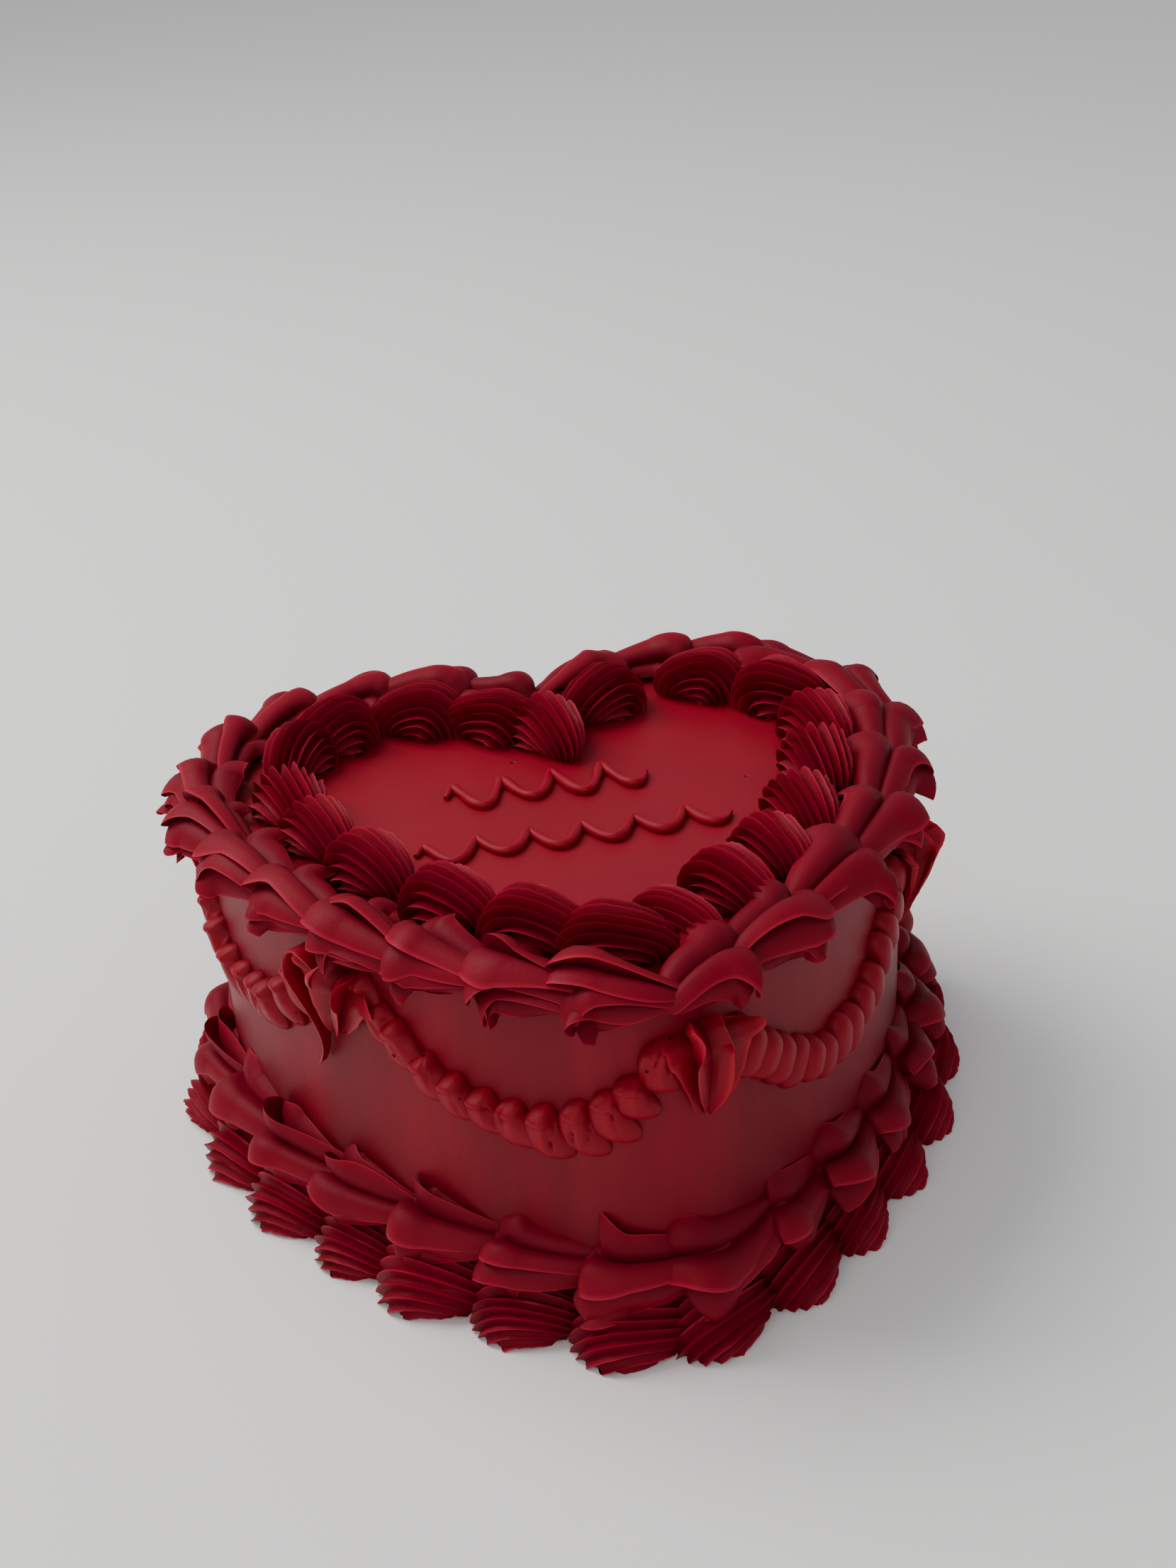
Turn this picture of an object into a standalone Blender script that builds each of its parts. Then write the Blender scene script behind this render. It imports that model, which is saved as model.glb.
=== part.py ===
# Heart shaped buttercream cake with piped shell borders, garlands and petal rosettes.
# Metres, +Z up, tip of the heart toward -Y, resting on the plane z = 0.
import bpy
import math
import random
import numpy as np
from mathutils import Matrix, Vector

MM = 0.001

# Heart outline of the iced wall
LOBE_X = 44.0
LOBE_RADIUS = 63.0
SIDE_RADIUS = 185.0
TIP_Y = -103.0
TIP_RADIUS = 36.5
NOTCH_RADIUS = 8.0
HEIGHT = 107.0
WALL_STEP = 6.6

# Clearance kept between neighbouring solids
GAP = 0.6
FLAT_GAP = 0.4
NOTCH_CLEAR = 17.0
NOTCH_ROOM = 9.0

# Top inner border, fine ridges
INNER_SPINE = -22.5
INNER_RADIUS = 12.2
INNER_CENTRE = 6.8
INNER_LIMIT = -10.2
INNER_RUN_LEFT = 13
INNER_RUN_RIGHT = 7
INNER_START = 72.0

# Top outer border, broad lobes leaning over the edge
OUTER_SPINE = 2.0
OUTER_IN = 9.3
OUTER_TOP = 14.5
OUTER_REACH = 7.8
OUTER_DROP = 5.0
OUTER_LOBES = 6
OUTER_RUN_LEFT = 15
OUTER_RUN_RIGHT = 8
OUTER_START = 84.0

# Base borders
LOWER_SPINE = 13.0
LOWER_REACH = 21.3
LOWER_HEIGHT = 19.0
LOWER_SHELLS = 24
UPPER_SPINE = 8.0
UPPER_REACH = 17.0
UPPER_MIDDLE = 22.5
UPPER_TOP = 35.0
UPPER_LOBES = 5
UPPER_SHELLS = 23
SEAM_WALL = 11.0
SEAM_RISE = 0.5

# Garlands and rosettes on the wall, places measured along the wall from the notch
ROSETTE_AT = (0.0, 102.0, 206.0, 322.5, 433.0, 540.0)
ROSETTE_LEAN = (0.0, 6.0, -6.0, 4.0, -22.0, 8.0)
ROSETTE_Z = 87.0
ROSETTE_RADIUS = 13.0
ROSETTE_FOLDS = 4
ROSETTE_VALLEY = 0.60
ROSETTE_TIP = 20.5
NOTCH_SEAT = 7.2
NOTCH_STEM = 5.8
SWAG_LOW = (64.0, 63.0, 63.0, 68.0, 65.0, 63.0)
SWAG_HIGH = 108.0
SWAG_SAG = 2.1
SWAG_WIDTH = 13.5
SWAG_DEPTH = 8.5
SWAG_SCALLOP = 9.2
SWAG_ROOM = 3.0

# Piped flourish on the top face
BEAD_RADIUS = 1.6
WAVE_POINTS = 9
WAVE_LEAN = 0.45
FLOURISH = (
    ("top_flourish_upper", -6.0, -13.0, 62.0, 8.0, 4.0),
    ("top_flourish_lower", -4.0, -46.0, 94.0, 6.0, 6.0),
)

COLOURS = {
    "cake_body": ("crimson_icing", (0.262, 0.0105, 0.0180), 0.50),
    "border": ("wine_icing", (0.158, 0.0068, 0.0175), 0.44),
    "swag": ("red_icing", (0.330, 0.0130, 0.0170), 0.42),
}


def clear_scene():
    for item in list(bpy.data.objects):
        bpy.data.objects.remove(item, do_unlink=True)


def make_material(key):
    name, colour, roughness = COLOURS[key]
    found = bpy.data.materials.get(name)
    if found:
        return found
    material = bpy.data.materials.new(name)
    material.use_nodes = True
    shader = material.node_tree.nodes["Principled BSDF"]
    shader.inputs["Base Color"].default_value = (*colour, 1.0)
    shader.inputs["Roughness"].default_value = roughness
    shader.inputs["Metallic"].default_value = 0.0
    return material


def heart_arcs(offset):
    """Arcs of the right half from notch to tip: centre, radius, start, end, side of the normal."""
    lobe = np.array([LOBE_X, 0.0])
    tip = np.array([0.0, TIP_Y])
    r_lobe = LOBE_RADIUS + offset
    r_side = SIDE_RADIUS + offset
    r_tip = TIP_RADIUS + offset
    r_notch = NOTCH_RADIUS - offset
    to_lobe = r_side - r_lobe
    to_tip = r_side - r_tip
    apart = np.linalg.norm(tip - lobe)
    along = (tip - lobe) / apart
    x = (to_lobe ** 2 - to_tip ** 2 + apart ** 2) / (2 * apart)
    h = math.sqrt(to_lobe ** 2 - x ** 2)
    across = np.array([-along[1], along[0]])
    side = min((lobe + x * along + h * across, lobe + x * along - h * across), key=lambda c: c[0])
    a_side = math.atan2(*(lobe - side)[::-1])
    a_tip = math.atan2(*(tip - side)[::-1])
    arcs = []
    if r_notch > 0.5:
        notch = np.array([0.0, math.sqrt((r_lobe + r_notch) ** 2 - LOBE_X ** 2)])
        a_lobe = math.atan2(*(notch - lobe)[::-1])
        arcs.append((notch, r_notch, -math.pi / 2, math.atan2(*(lobe - notch)[::-1]), -1.0))
    else:
        a_lobe = math.acos(-LOBE_X / r_lobe)
    arcs.append((lobe, r_lobe, a_lobe, a_side, 1.0))
    arcs.append((side, r_side, a_side, a_tip, 1.0))
    arcs.append((tip, r_tip, a_tip, -math.pi / 2, 1.0))
    return arcs


def notch_depth():
    """Y of the wall at the bottom of the notch."""
    return math.sqrt((LOBE_RADIUS + NOTCH_RADIUS) ** 2 - LOBE_X ** 2) - NOTCH_RADIUS


class HeartPath:
    """Heart outline at an offset, read by arc length from the notch, clockwise from above."""

    def __init__(self, offset):
        self.offset = offset
        self.arcs = heart_arcs(offset)
        self.lengths = [abs(a[3] - a[2]) * a[1] for a in self.arcs]
        self.half = sum(self.lengths)
        self.total = 2 * self.half

    def at(self, s):
        s = s % self.total
        mirror = s > self.half
        rest = self.total - s if mirror else s
        for arc, length in zip(self.arcs, self.lengths):
            if rest <= length or arc is self.arcs[-1]:
                break
            rest -= length
        centre, radius, start, end, side = arc
        angle = start + (end - start) * min(1.0, rest / length)
        normal = np.array([math.cos(angle), math.sin(angle)])
        point = centre + radius * normal
        normal = normal * side
        if mirror:
            point = point * (-1.0, 1.0)
            normal = normal * (-1.0, 1.0)
        return point, normal

    def place(self, s, out, z):
        """Point in space, with out measured from the wall."""
        if s == 0.0:
            return (0.0, (notch_depth() + out) * MM, z * MM)
        point, normal = self.at(s)
        flat = point + normal * (out - self.offset)
        return (flat[0] * MM, flat[1] * MM, z * MM)


def new_object(name, verts, faces, key):
    mesh = bpy.data.meshes.new(name)
    mesh.from_pydata([tuple(v) for v in verts], [], faces)
    mesh.update()
    item = bpy.data.objects.new(name, mesh)
    bpy.context.scene.collection.objects.link(item)
    mesh.materials.append(make_material(key))
    return item


def grid_faces(rows, columns, closed):
    """Quads between successive rings of points, with end caps on an open loft."""
    faces = []
    for i in range(rows if closed else rows - 1):
        a = i * columns
        b = ((i + 1) % rows) * columns
        for j in range(columns):
            k = (j + 1) % columns
            faces.append((a + j, b + j, b + k, a + k))
    if not closed:
        last = (rows - 1) * columns
        faces.append(tuple(range(columns)))
        faces.append(tuple(last + j for j in reversed(range(columns))))
    return faces


def outward(item):
    """Turns the faces out where the signed volume is negative."""
    mesh = item.data
    volume = 0.0
    for face in mesh.polygons:
        corner = [Vector(mesh.vertices[i].co) for i in face.vertices]
        for j in range(1, len(corner) - 1):
            volume += corner[0].dot(corner[j].cross(corner[j + 1]))
    if volume < 0:
        mesh.flip_normals()
    return item


def cake_body():
    path = HeartPath(0.0)
    count = int(round(path.total / WALL_STEP))
    verts = [path.place(path.total * i / count, 0.0, 0.0) for i in range(count)]
    item = new_object("cake_body", verts, [tuple(reversed(range(count)))], "cake_body")
    thicken = item.modifiers.new("height", "SOLIDIFY")
    thicken.thickness = HEIGHT * MM
    thicken.offset = 1.0
    return item


# One shell from head to tail: place along the shell, size, lean back of the crown, sideways weave
SHELL = (
    (0.00, 0.62, 0.0, 0.3),
    (0.13, 0.96, 1.0, 1.0),
    (0.40, 1.00, 0.7, 0.5),
    (0.76, 0.83, 0.2, -0.6),
)


def shell_stations(path, runs, seed, clear_notch):
    """Stations round the border. A run is (start, end, shells); shells lead with their heads."""
    draw = random.Random(seed)
    stations = []
    for start, end, count in runs:
        pitch = (end - start) / count
        for i in range(count):
            size = draw.uniform(0.93, 1.05)
            shift = draw.uniform(-0.06, 0.06)
            tilt = draw.uniform(-1.0, 1.0)
            for t, swell, lean, weave in SHELL:
                s = start + (i + t + (shift if t > 0 else 0.0)) * pitch
                heading = 1.0 if pitch > 0 else -1.0
                stations.append((s % path.total, swell * size, -lean * heading, weave, tilt))
    stations.sort(key=lambda item: item[0])
    if clear_notch:
        near = NOTCH_CLEAR + 3.0
        kept = [p for p in stations if near < p[0] < path.total - near]
        first = [(0.0, 0.80, 0.0, 0.0, 0.0), (NOTCH_CLEAR, 0.92, 0.0, 0.0, 0.0)]
        stations = first + kept + [(path.total - NOTCH_CLEAR, 0.92, 0.0, 0.0, 0.0)]
    return stations


def border(name, spine, runs, section, seed, lean, clear_notch):
    """Closed loft of ridged sections along the heart, one swelling shell after another."""
    path = HeartPath(spine)
    stations = shell_stations(path, runs, seed, clear_notch)
    verts = []
    columns = 0
    for s, swell, back, weave, tilt in stations:
        points = section(swell, weave, tilt)
        top = max(p[1] for p in points)
        base = min(p[1] for p in points)
        columns = len(points)
        for out, z, free in points:
            moved = s + free * back * lean * (z - base) / (top - base)
            verts.append(path.place(moved, out, z))
    faces = grid_faces(len(stations), columns, True)
    return outward(new_object(name, verts, faces, "border"))


def ridge_angles(start, end, ridges):
    """Angle and ridge or valley mark across the visible side, ridge first and last."""
    count = 2 * ridges - 1
    return [(start + (end - start) * i / (count - 1), i % 2 == 0) for i in range(count)]


def inner_section(swell, weave, tilt):
    """Round fine-ridged shell lying on the top face."""
    floor = HEIGHT + FLAT_GAP
    centre = INNER_SPINE - 0.9 * weave
    points = []
    for angle, crest in ridge_angles(-28.0, 208.0, 8):
        a = math.radians(angle + 3.0 * tilt)
        r = INNER_RADIUS * (1.0 if crest else 0.80)
        out = centre + swell * r * math.cos(a)
        z = floor + swell * max(0.0, INNER_CENTRE + r * math.sin(a))
        points.append((min(out, INNER_LIMIT), max(z, floor + 0.5), 1.0))
    points.append((centre - 7.0 * swell, floor, 0.0))
    points.append((min(centre + 7.0 * swell, INNER_LIMIT - 0.3), floor, 0.0))
    return points


def sawtooth(start, end, lobes):
    """Angle and size of broad faces that rise to a crisp lip and fall into a fold."""
    step = (end - start) / lobes
    marks = []
    for i in range(lobes):
        marks.append((start + (i + 0.05) * step, 0.68))
        marks.append((start + (i + 0.74) * step, 1.00))
    return marks


def edge_radius(angle):
    """Reach of the outer border round the top edge of the wall."""
    if angle > 90.0:
        f = (angle - 90.0) / 90.0
        return OUTER_TOP + (OUTER_IN - OUTER_TOP) * f ** 1.5
    if angle > 0.0:
        f = angle / 90.0
        return OUTER_REACH + (OUTER_TOP - OUTER_REACH) * f
    f = -angle / 90.0
    return OUTER_REACH + (OUTER_DROP - OUTER_REACH) * f ** 2


def outer_section(swell, weave, tilt):
    """Broad-lobed shell wrapped over the top edge, with a corner that clears the cake."""
    points = []
    for angle, size in sawtooth(176.0, -84.0, OUTER_LOBES):
        turned = angle - 7.0 * weave + 3.0 * tilt
        a = math.radians(turned)
        r = swell * size * edge_radius(turned)
        out = GAP + r * math.cos(a)
        z = HEIGHT + FLAT_GAP + r * math.sin(a)
        out = max(out, GAP if z < HEIGHT + FLAT_GAP else -OUTER_IN)
        z = z if out >= GAP else max(z, HEIGHT + FLAT_GAP + 0.5)
        points.append((out, z, 1.0))
    points.append((GAP, HEIGHT - OUTER_DROP * swell * 0.9, 0.0))
    points.append((GAP, HEIGHT + FLAT_GAP, 0.0))
    points.append((-OUTER_IN * swell * 0.9, HEIGHT + FLAT_GAP, 0.0))
    return points


def seam(out):
    """Height of the surface where the two base borders meet."""
    return SEAM_WALL + SEAM_RISE * (out - GAP)


def lower_section(swell, weave, tilt):
    """Fine-ridged shell that stands on the floor against the wall."""
    points = [(GAP, 0.0, 0.0)]
    for angle, crest in ridge_angles(4.0, 84.0, 7):
        a = math.radians(angle + 1.5 * tilt)
        size = 1.0 if crest else 0.84
        bulge = 1.0 + 0.16 * math.sin(2 * a)
        out = GAP + swell * size * bulge * LOWER_REACH * math.cos(a)
        z = swell * size * bulge * LOWER_HEIGHT * math.sin(a)
        z = min(z, seam(out) - GAP, LOWER_HEIGHT)
        points.append((out, max(z, 0.4), 0.0 if angle > 80.0 else 1.0))
    points.insert(1, (GAP + 0.93 * swell * LOWER_REACH, 0.0, 0.0))
    points.append((GAP, SEAM_WALL - GAP, 0.0))
    return points


def upper_section(swell, weave, tilt):
    """Broad-lobed shell against the wall above the lower border."""
    points = []
    for angle, size in sawtooth(-58.0, 92.0, UPPER_LOBES):
        a = math.radians(angle + 5.0 * weave + 3.0 * tilt)
        r_out = UPPER_REACH - GAP
        r_up = (UPPER_TOP - UPPER_MIDDLE) if a > 0 else 8.0
        out = GAP + swell * size * r_out * max(0.02, math.cos(a))
        z = UPPER_MIDDLE + swell * size * r_up * math.sin(a)
        points.append((out, max(z, seam(out) + 0.2), 1.0))
    points.append((GAP, UPPER_MIDDLE + swell * (UPPER_TOP - UPPER_MIDDLE) * 1.02, 0.0))
    points.append((GAP, SEAM_WALL, 0.0))
    return points


def swag(index):
    """Scalloped garland that hangs between two rosettes on the wall."""
    path = HeartPath(0.0)
    start = ROSETTE_AT[index]
    end = ROSETTE_AT[(index + 1) % len(ROSETTE_AT)]
    if end <= start:
        end += path.total
    low = SWAG_LOW[index]
    span = end - start
    room = (ROSETTE_RADIUS + SWAG_ROOM) / span
    first = room + (NOTCH_ROOM / span if index == 0 else 0.0)
    last = 1.0 - room - (NOTCH_ROOM / span if index == len(ROSETTE_AT) - 1 else 0.0)
    draw = random.Random(40 + index)

    def line(u):
        return start + span * u, low + (SWAG_HIGH - low) * abs(2 * u - 1) ** SWAG_SAG

    count = int(round(1.1 * span * (last - first) / SWAG_SCALLOP))
    profile = ((-0.50, 0.0), (-0.44, 0.62), (0.0, 1.0), (0.44, 0.62), (0.50, 0.0))
    verts = []
    rows = 0
    for i in range(count):
        size = draw.uniform(0.90, 1.06)
        for t, swell in ((0.0, 0.68), (0.30, 1.0)):
            u = first + (last - first) * (i + t) / (count - 0.7)
            s, z = line(u)
            s2, z2 = line(u + 0.004)
            lie = 0.5 * math.atan2(z2 - z, s2 - s)
            across = (-math.sin(lie), math.cos(lie))
            for width, depth in profile:
                w = width * SWAG_WIDTH * swell * size
                out = GAP + depth * SWAG_DEPTH * swell * size
                verts.append(path.place(s + across[0] * w, out, z + across[1] * w))
            rows += 1
    name = "swag_%d" % (index + 1)
    return outward(new_object(name, verts, grid_faces(rows, len(profile), False), "swag"))


# One rosette from its blunt head down: place below its middle, half width and depth as shares
ROSETTE = (
    (-13.5, 0.46, 0.42),
    (-9.0, 0.88, 0.80),
    (-1.0, 1.00, 1.00),
    (7.5, 0.74, 0.78),
    (14.0, 0.40, 0.46),
)


def rosette(index):
    """Petal of deep folds that run from a blunt head down to a point, its back on the wall."""
    path = HeartPath(0.0)
    at = ROSETTE_AT[index]
    in_notch = at < NOTCH_CLEAR
    seat = NOTCH_SEAT if in_notch else GAP
    lean = math.radians(ROSETTE_LEAN[index])
    draw = random.Random(70 + index)
    ridges = 2 * ROSETTE_FOLDS + 1
    columns = ridges + 3

    def place(across, down, out):
        s = across * math.cos(lean) - down * math.sin(lean)
        z = ROSETTE_Z - down * math.cos(lean) - across * math.sin(lean)
        if in_notch:
            return (s * MM, (notch_depth() + out) * MM, z * MM)
        return path.place(at + s, out, z)

    verts = []
    for level, (down, width, depth) in enumerate(ROSETTE):
        half = ROSETTE_RADIUS * width
        verts.append(place(-0.75 * half, down, seat))
        for j in range(ridges):
            a = math.radians(-84.0 + 168.0 * j / (ridges - 1) + draw.uniform(-4.0, 4.0))
            r = 1.0 if j % 2 == 0 else ROSETTE_VALLEY
            out = seat + ROSETTE_RADIUS * depth * r * math.cos(a)
            verts.append(place(half * r * math.sin(a), down, out))
        verts.append(place(0.75 * half, down, seat))
        verts.append(place(0.0, down, seat - (NOTCH_STEM if in_notch else 0.0)))
    faces = grid_faces(len(ROSETTE), columns, False)[:-1]
    verts.append(place(0.0, ROSETTE_TIP, seat + 0.1 * ROSETTE_RADIUS))
    last = (len(ROSETTE) - 1) * columns
    tip = len(verts) - 1
    faces += [(last + (j + 1) % columns, last + j, tip) for j in range(columns)]
    return outward(new_object("rosette_%d" % (index + 1), verts, faces, "swag"))


def flourish(name, x0, y0, length, swing, waves):
    """Piped running wave of uneven swing, which leans over but never crosses itself."""
    count = int(WAVE_POINTS * waves)
    reach = WAVE_LEAN * length / waves / (2 * math.pi)
    draw = random.Random(len(name))
    gains = [draw.uniform(0.65, 1.15) for _ in range(int(2 * waves) + 2)]
    line = []
    for i in range(count + 1):
        phase = 2 * math.pi * waves * i / count
        step = int(phase / math.pi)
        y = swing * gains[step] * math.sin(phase)
        x = length * (i / count - 0.5) + reach * math.cos(phase)
        line.append((x0 + x, y0 + y))
    curve = bpy.data.curves.new(name, "CURVE")
    curve.dimensions = "3D"
    curve.bevel_depth = BEAD_RADIUS * MM
    curve.bevel_resolution = 0
    curve.use_fill_caps = True
    spline = curve.splines.new("POLY")
    spline.points.add(len(line) - 1)
    for point, (x, y) in zip(spline.points, line):
        point.co = (x * MM, y * MM, (HEIGHT + FLAT_GAP + BEAD_RADIUS) * MM, 1.0)
    item = bpy.data.objects.new(name, curve)
    bpy.context.scene.collection.objects.link(item)
    curve.materials.append(make_material("swag"))
    weld = item.modifiers.new("weld", "WELD")
    weld.merge_threshold = 0.00005
    return item


def full_round(path, shells):
    """A single run that starts at the notch and goes anticlockwise all the way round."""
    return [(path.total, 0.0, shells)]


def two_runs(path, start, left, right):
    """Two runs from the back right corner, each ending at the tip."""
    return [(start, path.half - path.total, left), (start, path.half, right)]


def centre_all():
    """Moves every piece so that the middle of the whole stands over the origin."""
    bpy.context.view_layer.update()
    corners = [Vector(c) for item in bpy.data.objects for c in item.bound_box]
    low = [min(c[k] for c in corners) for k in range(2)]
    high = [max(c[k] for c in corners) for k in range(2)]
    shift = Matrix.Translation((-(low[0] + high[0]) / 2, -(low[1] + high[1]) / 2, 0.0))
    for item in bpy.data.objects:
        item.data.transform(shift)


def build():
    clear_scene()
    cake_body()
    runs = two_runs(HeartPath(INNER_SPINE), INNER_START, INNER_RUN_LEFT, INNER_RUN_RIGHT)
    border("top_inner_border", INNER_SPINE, runs, inner_section, 11, 4.0, False)
    runs = two_runs(HeartPath(OUTER_SPINE), OUTER_START, OUTER_RUN_LEFT, OUTER_RUN_RIGHT)
    border("top_outer_border", OUTER_SPINE, runs, outer_section, 12, 4.0, True)
    runs = full_round(HeartPath(LOWER_SPINE), LOWER_SHELLS)
    border("base_lower_border", LOWER_SPINE, runs, lower_section, 13, 3.5, True)
    runs = full_round(HeartPath(UPPER_SPINE), UPPER_SHELLS)
    border("base_upper_border", UPPER_SPINE, runs, upper_section, 14, 3.5, True)
    for index in range(len(ROSETTE_AT)):
        rosette(index)
        swag(index)
    for values in FLOURISH:
        flourish(*values)
    centre_all()


build()
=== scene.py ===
import math
import random

import bpy
import numpy as np
from mathutils import Matrix, Vector


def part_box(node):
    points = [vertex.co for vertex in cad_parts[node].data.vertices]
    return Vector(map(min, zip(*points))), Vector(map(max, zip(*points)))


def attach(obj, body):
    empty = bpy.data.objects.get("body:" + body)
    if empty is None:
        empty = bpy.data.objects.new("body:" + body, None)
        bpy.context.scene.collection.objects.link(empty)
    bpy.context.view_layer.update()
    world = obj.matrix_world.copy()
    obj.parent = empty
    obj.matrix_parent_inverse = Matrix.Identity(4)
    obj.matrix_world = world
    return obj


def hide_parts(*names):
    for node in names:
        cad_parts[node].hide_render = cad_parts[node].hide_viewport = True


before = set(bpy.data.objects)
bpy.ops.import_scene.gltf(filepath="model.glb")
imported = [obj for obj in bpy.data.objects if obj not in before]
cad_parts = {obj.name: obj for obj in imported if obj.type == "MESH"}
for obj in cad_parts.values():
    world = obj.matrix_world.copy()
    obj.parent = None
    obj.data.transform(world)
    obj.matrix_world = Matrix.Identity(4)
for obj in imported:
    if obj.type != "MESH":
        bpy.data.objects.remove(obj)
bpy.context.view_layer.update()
mm = 0.001
upward = np.array([0.0, 0.0, 1.0])


# The heart that the iced wall follows

heart = {
    "lobeX": 44.0,
    "lobeRadius": 63.0,
    "sideRadius": 185.0,
    "tipY": -103.0,
    "tipRadius": 36.5,
    "notchRadius": 8.0,
    "leastNotch": 0.5,  # below this radius the notch is a sharp corner
}
bodyLow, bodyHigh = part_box("cake_body")
heart["height"] = bodyHigh.z / mm
heartShift = np.array([
    (bodyLow.x + bodyHigh.x) / 2 / mm,
    bodyLow.y / mm + heart["tipRadius"] - heart["tipY"],
    0.0,
])


def heartArcs(offset):  # centre, radius, start, end and side of the normal, notch to tip
    lobe = np.array([heart["lobeX"], 0.0])
    tip = np.array([0.0, heart["tipY"]])
    lobeR = heart["lobeRadius"] + offset
    sideR = heart["sideRadius"] + offset
    tipR = heart["tipRadius"] + offset
    notchR = heart["notchRadius"] - offset
    apart = np.linalg.norm(tip - lobe)
    along = (tip - lobe) / apart
    x = ((sideR - lobeR) ** 2 - (sideR - tipR) ** 2 + apart ** 2) / (2 * apart)
    h = math.sqrt((sideR - lobeR) ** 2 - x ** 2)
    across = np.array([-along[1], along[0]])
    side = min((lobe + x * along + h * across, lobe + x * along - h * across), key=lambda c: c[0])
    aSide = math.atan2(lobe[1] - side[1], lobe[0] - side[0])
    aTip = math.atan2(tip[1] - side[1], tip[0] - side[0])
    arcs = []
    if notchR > heart["leastNotch"]:
        notch = np.array([0.0, math.sqrt((lobeR + notchR) ** 2 - heart["lobeX"] ** 2)])
        aLobe = math.atan2(notch[1], -heart["lobeX"])
        arcs.append((notch, notchR, -math.pi / 2, math.atan2(-notch[1], heart["lobeX"]), -1.0))
    else:
        aLobe = math.acos(-heart["lobeX"] / lobeR)
    arcs.append((lobe, lobeR, aLobe, aSide, 1.0))
    arcs.append((side, sideR, aSide, aTip, 1.0))
    arcs.append((tip, tipR, aTip, -math.pi / 2, 1.0))
    return arcs


class HeartLine:  # the heart at an offset, read by arc length from the notch, clockwise from above
    def __init__(self, offset):
        self.offset = offset
        self.arcs = heartArcs(offset)
        self.lengths = [abs(arc[3] - arc[2]) * arc[1] for arc in self.arcs]
        self.half = sum(self.lengths)
        self.total = 2 * self.half

    def at(self, s):  # points and outward normals, as two arrays
        s = np.mod(np.atleast_1d(np.asarray(s, float)), self.total)
        mirror = s > self.half
        rest = np.where(mirror, self.total - s, s)
        point = np.zeros((len(s), 2))
        normal = np.zeros((len(s), 2))
        before = 0.0
        for index, (arc, length) in enumerate(zip(self.arcs, self.lengths)):
            centre, radius, start, end, side = arc
            last = index == len(self.arcs) - 1
            here = (rest >= before) & ((rest < before + length) | last)
            angle = start + (end - start) * np.clip((rest[here] - before) / length, 0.0, 1.0)
            unit = np.stack([np.cos(angle), np.sin(angle)], 1)
            point[here] = centre + radius * unit
            normal[here] = unit * side
            before += length
        flip = np.where(mirror, -1.0, 1.0)
        point[:, 0] *= flip
        normal[:, 0] *= flip
        return point, normal

    def heading(self, s):  # direction of the line in degrees, clockwise sense
        normal = self.at(s)[1][0]
        return math.degrees(math.atan2(-normal[0], normal[1]))

    def bend(self, s, reach):  # turn per millimetre over a stretch, clockwise sense
        turn = math.radians(self.heading(s + reach) - self.heading(s - reach))
        turn = (turn + math.pi) % (2 * math.pi) - math.pi
        return turn / (2 * reach)


# Meshes

sharpAngle = 62.0  # degrees, past which an edge isn't shaded smooth


def gridQuads(rows, columns):
    i = np.repeat(np.arange(rows - 1), columns)
    j = np.tile(np.arange(columns), rows - 1)
    k = (j + 1) % columns
    a = i * columns
    b = a + columns
    return np.stack([a + j, b + j, b + k, a + k], 1)


def signedVolume(points, quads):
    a, b, c, d = (points[quads[:, n]] for n in range(4))
    one = np.einsum("ij,ij->i", a, np.cross(b, c)).sum()
    two = np.einsum("ij,ij->i", a, np.cross(c, d)).sum()
    return (one + two) / 6


class Batch:  # gathers closed lofts into one piece
    def __init__(self):
        self.points = []
        self.faces = []
        self.crests = []
        self.count = 0

    def addLoft(self, points, crest):  # points as rows, columns, 3; both ends are capped
        rows, columns = points.shape[:2]
        flat = points.reshape(-1, 3)
        quads = gridQuads(rows, columns)
        lastRow = (rows - 1) * columns
        inward = signedVolume(flat - flat.mean(0), quads) < 0
        if inward:
            quads = quads[:, ::-1]
        first = list(range(columns))
        last = [lastRow + n for n in reversed(range(columns))]
        caps = [first[::-1], last[::-1]] if inward else [first, last]
        self.faces += (quads + self.count).tolist()
        self.faces += [[n + self.count for n in cap] for cap in caps]
        self.points.append(flat)
        self.crests.append(np.asarray(crest, float).reshape(-1))
        self.count += len(flat)

    def makePiece(self, name, material, nodes):
        points = (np.concatenate(self.points) + heartShift) * mm
        mesh = bpy.data.meshes.new(name)
        mesh.from_pydata(points.tolist(), [], self.faces)
        mesh.update()
        layer = mesh.attributes.new("crest", "FLOAT", "POINT")
        layer.data.foreach_set("value", np.concatenate(self.crests).astype(np.float32))
        mesh.polygons.foreach_set("use_smooth", [True] * len(mesh.polygons))
        mesh.set_sharp_from_angle(angle=math.radians(sharpAngle))
        piece = bpy.data.objects.new(name, mesh)
        bpy.context.scene.collection.objects.link(piece)
        mesh.materials.append(material)
        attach(piece, "root")
        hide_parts(*nodes)
        print(name, len(mesh.vertices), "points")
        return piece


# Profiles: what a nozzle's teeth leave round a shell, ridges or leaves

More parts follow.
